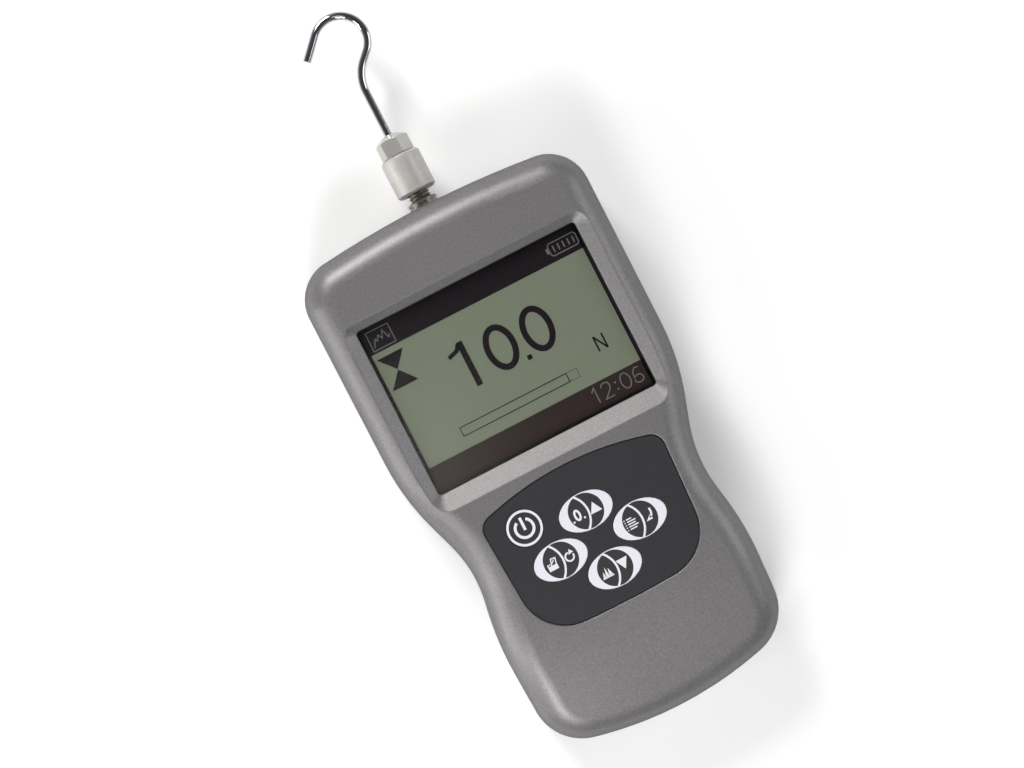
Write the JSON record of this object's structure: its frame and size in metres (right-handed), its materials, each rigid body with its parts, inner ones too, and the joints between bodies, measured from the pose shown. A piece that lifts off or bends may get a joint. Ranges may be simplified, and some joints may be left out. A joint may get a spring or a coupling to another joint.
{
  "type": "digital force gauge",
  "caption": "Handheld digital force gauge with a display window, a membrane keypad, a threaded measuring shaft and a wire pull hook.",
  "frame": {"origin": "centre of the rectangle of tapped holes on the rear face, half way along the body", "axes": "+Z out of the front face, +Y along the body towards the hook, +X to the right of the display"},
  "size_m": [0.1088, 0.2725, 0.04],
  "materials": {
    "body_paint": "metallic grey paint with a fine sparkle over die-cast aluminium",
    "door_paint": "moulded plastic painted to match the body",
    "clear_window": "clear acrylic, polished",
    "adhesive": "black double-sided tape",
    "foam": "black closed-cell foam",
    "lcd": "reflective liquid crystal display, grey-green",
    "backlight": "white light guide",
    "frame_steel": "pressed steel frame",
    "flex": "amber polyimide ribbon",
    "overlay_film": "charcoal printed film",
    "key_film": "white printed film over a domed key",
    "dome_steel": "snap dome",
    "board": "green printed circuit board",
    "chip_black": "black moulded packages and connectors",
    "coin_steel": "steel can",
    "socket_black": "black moulded socket",
    "screw_steel": "zinc-plated steel",
    "cell_alloy": "machined alloy, clear anodised",
    "gauge_foil": "strain gauge foil under clear coating",
    "lead_grey": "grey ribbon cable",
    "shaft_steel": "dull threaded steel",
    "bush_steel": "turned steel, dull",
    "nickel": "satin nickel plate",
    "chrome": "bright chrome plate",
    "tray_black": "black moulded plastic",
    "battery": "plain sleeve over a steel can",
    "contact": "nickel-plated spring steel"
  },
  "bodies": {
    "housing": {"front_cover": "body_paint", "rear_cover": "body_paint", "cover_screws": "screw_steel", "display_window": "clear_window", "window_tape": "adhesive", "display_gasket": "foam", "lcd_glass": "lcd", "lcd_backlight": "backlight", "lcd_frame": "frame_steel", "lcd_flex": "flex", "keypad_circuit": "flex", "key_domes": "dome_steel", "keypad_overlay": "overlay_film", "keypad_tail": "flex", "main_board": "board", "board_screws": "screw_steel", "board_chips": "chip_black", "buzzer": "chip_black", "clock_cell": "coin_steel", "clock_cell_holder": "socket_black", "power_socket": "socket_black", "usb_socket": "frame_steel", "load_cell": "cell_alloy", "strain_gauges": "gauge_foil", "cell_bracket": "cell_alloy", "bracket_screws": "screw_steel", "cell_bolt": "screw_steel", "cell_connector": "socket_black", "load_cell_lead": "lead_grey", "guide_bush": "bush_steel", "battery_tray": "tray_black", "battery_cells": "battery", "battery_plates": "contact", "battery_springs": "contact", "battery_terminals": "contact"},
    "shaft": {"measuring_shaft": "shaft_steel", "shaft_locknut": "screw_steel"},
    "sleeve": {"hook_sleeve": "nickel"},
    "hook": {"hook_hex_base": "nickel", "hook_wire": "chrome"},
    "door": {"battery_door": "door_paint"},
    "key_power": {"key_power": "overlay_film"},
    "key_zero_up": {"key_zero_up": "key_film"},
    "key_print_reset": {"key_print_reset": "key_film"},
    "key_menu_enter": {"key_menu_enter": "key_film"},
    "key_peak_down": {"key_peak_down": "key_film"}
  },
  "joints": [
    {"name": "shaft_travel", "type": "slide", "parent": "housing", "child": "shaft", "axis": [0, 1, 0], "range_m": [-0.00025, 0.00025], "stiffness_N_per_m": 40000},
    {"name": "sleeve_advance", "type": "slide", "parent": "shaft", "child": "sleeve", "axis": [0, 1, 0], "range_m": [0, 0.00875]},
    {"name": "hook_turn", "type": "hinge", "parent": "sleeve", "child": "hook", "pos_m": [0, 0.11845, 0.018], "axis": [0, 1, 0], "range_deg": [0, 2520]},
    {"name": "key_power_press", "type": "slide", "parent": "housing", "child": "key_power", "axis": [0, 0, -1], "range_m": [0, 0.0003], "stiffness_N_per_m": 6000},
    {"name": "key_zero_up_press", "type": "slide", "parent": "housing", "child": "key_zero_up", "axis": [0, 0, -1], "range_m": [0, 0.0003], "stiffness_N_per_m": 6000},
    {"name": "key_print_reset_press", "type": "slide", "parent": "housing", "child": "key_print_reset", "axis": [0, 0, -1], "range_m": [0, 0.0003], "stiffness_N_per_m": 6000},
    {"name": "key_menu_enter_press", "type": "slide", "parent": "housing", "child": "key_menu_enter", "axis": [0, 0, -1], "range_m": [0, 0.0003], "stiffness_N_per_m": 6000},
    {"name": "key_peak_down_press", "type": "slide", "parent": "housing", "child": "key_peak_down", "axis": [0, 0, -1], "range_m": [0, 0.0003], "stiffness_N_per_m": 6000},
    {"name": "door_slide", "type": "slide", "parent": "housing", "child": "door", "axis": [0, -1, 0], "range_m": [0, 0.084]}
  ],
  "couplings": [
    {"joint": "hook_turn", "follows": "sleeve_advance", "rad_per_m": 5026.5}
  ]
}
